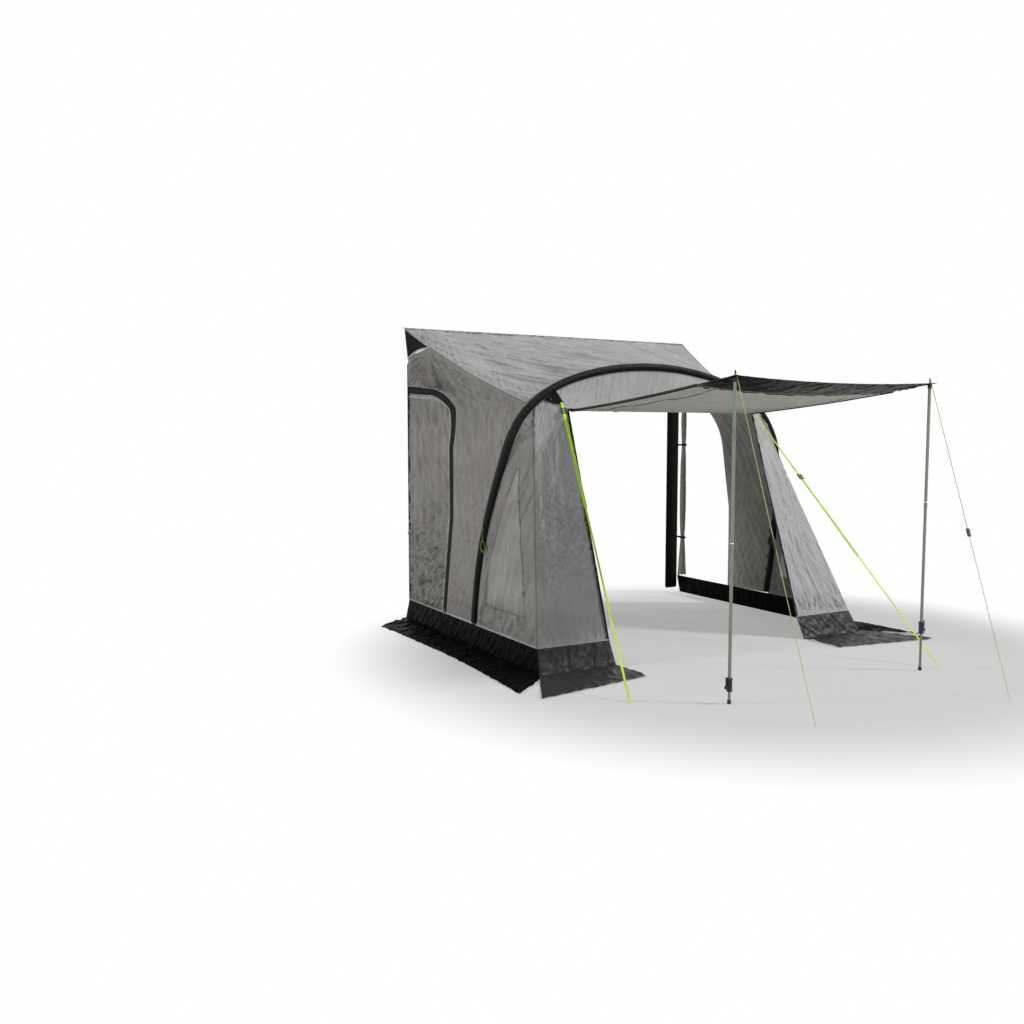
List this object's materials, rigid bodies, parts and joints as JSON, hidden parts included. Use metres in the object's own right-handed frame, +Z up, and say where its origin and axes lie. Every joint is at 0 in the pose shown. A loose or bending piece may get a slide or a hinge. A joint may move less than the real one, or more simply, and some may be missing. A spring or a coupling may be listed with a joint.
{
  "type": "caravan awning",
  "caption": "Inflatable porch awning for a caravan's side: arched air beam, side doors, windows and a front panel raised as a canopy on telescopic poles with guy ropes.",
  "frame": {"origin": "on the ground, at the middle of the awning's box without its ropes and straps", "axes": "+X to the right along the caravan seen from in front, +Y towards the caravan, +Z up"},
  "size_m": [3.54, 3.9999, 2.4039],
  "materials": {
    "roof_fabric": "woven polyester, mid grey, matt",
    "side_fabric": "woven polyester, warm dark grey, matt",
    "front_fabric": "woven polyester, grey, matt",
    "canopy_fabric": "woven polyester, pale warm grey underside, matt",
    "black_fabric": "black woven polyester",
    "sleeve_fabric": "black heavy polyester sleeve, slight sheen",
    "bladder_film": "coated bladder in its cover",
    "coated_sheet": "black coated fabric, glossy and crinkled",
    "window_film": "dark tinted film, glossy",
    "rolled_fabric": "rolled door fabric, warm grey",
    "tube_steel": "satin steel tube",
    "black_plastic": "black moulded plastic",
    "slider_metal": "black lacquered zip slider",
    "lime_webbing": "lime green woven webbing",
    "guy_cord": "pale yellow-green braided cord",
    "spare_cord": "lime green braided cord",
    "bead_plastic": "off-white rail bead"
  },
  "bodies": {
    "shell": {"rail_bead": "bead_plastic", "roof_panel": "roof_fabric", "header_panel": "front_fabric", "arch_sleeve": "sleeve_fabric", "air_beam": "bladder_film", "spare_cord_hank": "spare_cord", "right_door_roll": "rolled_fabric", "lower_door_tie": "black_fabric", "upper_door_tie": "black_fabric", "left_door_zip": "black_fabric", "left_side_panel": "side_fabric", "left_window_panel": "side_fabric", "left_window": "window_film", "left_front_wing": "front_fabric", "left_corner_gusset": "black_fabric", "left_wall_pad": "black_fabric", "left_side_mud_wall": "coated_sheet", "left_front_mud_wall": "coated_sheet", "left_side_skirt": "coated_sheet", "left_front_skirt": "coated_sheet", "left_anchor_gusset": "black_fabric", "left_strap_upper": "lime_webbing", "left_strap_buckle": "black_plastic", "left_strap_lower": "lime_webbing", "left_guy_rope": "guy_cord", "right_side_panel": "side_fabric", "right_window_panel": "side_fabric", "right_window": "window_film", "right_front_wing": "front_fabric", "right_corner_gusset": "black_fabric", "right_wall_pad": "black_fabric", "right_side_mud_wall": "coated_sheet", "right_front_mud_wall": "coated_sheet", "right_side_skirt": "coated_sheet", "right_front_skirt": "coated_sheet", "right_anchor_gusset": "black_fabric", "right_strap_upper": "lime_webbing", "right_strap_buckle": "black_plastic", "right_strap_lower": "lime_webbing", "right_guy_rope": "guy_cord"},
    "door": {"left_door": "side_fabric"},
    "zip_runner": {"zip_slider": "slider_metal"},
    "canopy": {"canopy_sheet": "canopy_fabric", "canopy_flap": "coated_sheet"},
    "left_pole": {"left_pole_tip": "black_plastic", "left_pole_upper": "tube_steel", "left_pole_middle": "tube_steel", "left_pole_clamp": "black_plastic"},
    "left_lower_pole": {"left_pole_lower": "tube_steel", "left_pole_foot": "black_plastic"},
    "left_lever": {"left_clamp_lever": "black_plastic"},
    "left_rope_runner": {"left_runner": "black_plastic"},
    "right_pole": {"right_pole_tip": "black_plastic", "right_pole_upper": "tube_steel", "right_pole_middle": "tube_steel", "right_pole_clamp": "black_plastic"},
    "right_lower_pole": {"right_pole_lower": "tube_steel", "right_pole_foot": "black_plastic"},
    "right_lever": {"right_clamp_lever": "black_plastic"},
    "right_rope_runner": {"right_runner": "black_plastic"}
  },
  "joints": [
    {"name": "door_hinge", "type": "hinge", "parent": "shell", "child": "door", "pos_m": [-1.41, 1.63325, 0], "axis": [0, 0, -1], "range_deg": [0, 90]},
    {"name": "zip_slide", "type": "slide", "parent": "shell", "child": "zip_runner", "axis": [0.0579, -0.0626, 0.9964], "range_m": [0, 0.66]},
    {"name": "canopy_hinge", "type": "hinge", "parent": "shell", "child": "canopy", "pos_m": [0, 0.03905, 1.697], "axis": [1, 0, 0], "range_deg": [0, 76], "deforming": ["left_guy_rope", "right_guy_rope"]},
    {"name": "left_pole_fold", "type": "hinge", "parent": "canopy", "child": "left_pole", "pos_m": [-0.81, -1.62195, 1.83459], "axis": [1, 0, 0], "range_deg": [0, 80.5]},
    {"name": "left_pole_slide", "type": "slide", "parent": "left_pole", "child": "left_lower_pole", "axis": [0, 0, 1], "range_m": [-0.28, 0.045]},
    {"name": "left_lever_pivot", "type": "hinge", "parent": "left_pole", "child": "left_lever", "pos_m": [-0.8335, -1.62195, 0.0954], "axis": [0, -1, 0], "range_deg": [0, 100]},
    {"name": "left_runner_slide", "type": "slide", "parent": "shell", "child": "left_rope_runner", "axis": [0.0558, -0.2758, -0.9596], "range_m": [-0.85, 0.85]},
    {"name": "right_pole_fold", "type": "hinge", "parent": "canopy", "child": "right_pole", "pos_m": [0.81, -1.62195, 1.83459], "axis": [1, 0, 0], "range_deg": [0, 80.5]},
    {"name": "right_pole_slide", "type": "slide", "parent": "right_pole", "child": "right_lower_pole", "axis": [0, 0, 1], "range_m": [-0.28, 0.21]},
    {"name": "right_lever_pivot", "type": "hinge", "parent": "right_pole", "child": "right_lever", "pos_m": [0.8335, -1.62195, 0.2654], "axis": [0, 1, 0], "range_deg": [0, 100]},
    {"name": "right_runner_slide", "type": "slide", "parent": "shell", "child": "right_rope_runner", "axis": [-0.0706, -0.3565, -0.9316], "range_m": [-0.85, 0.85]}
  ],
  "couplings": [
    {"joint": "left_pole_fold", "follows": "canopy_hinge", "ratio": 1.05},
    {"joint": "right_pole_fold", "follows": "canopy_hinge", "ratio": 1.05}
  ]
}
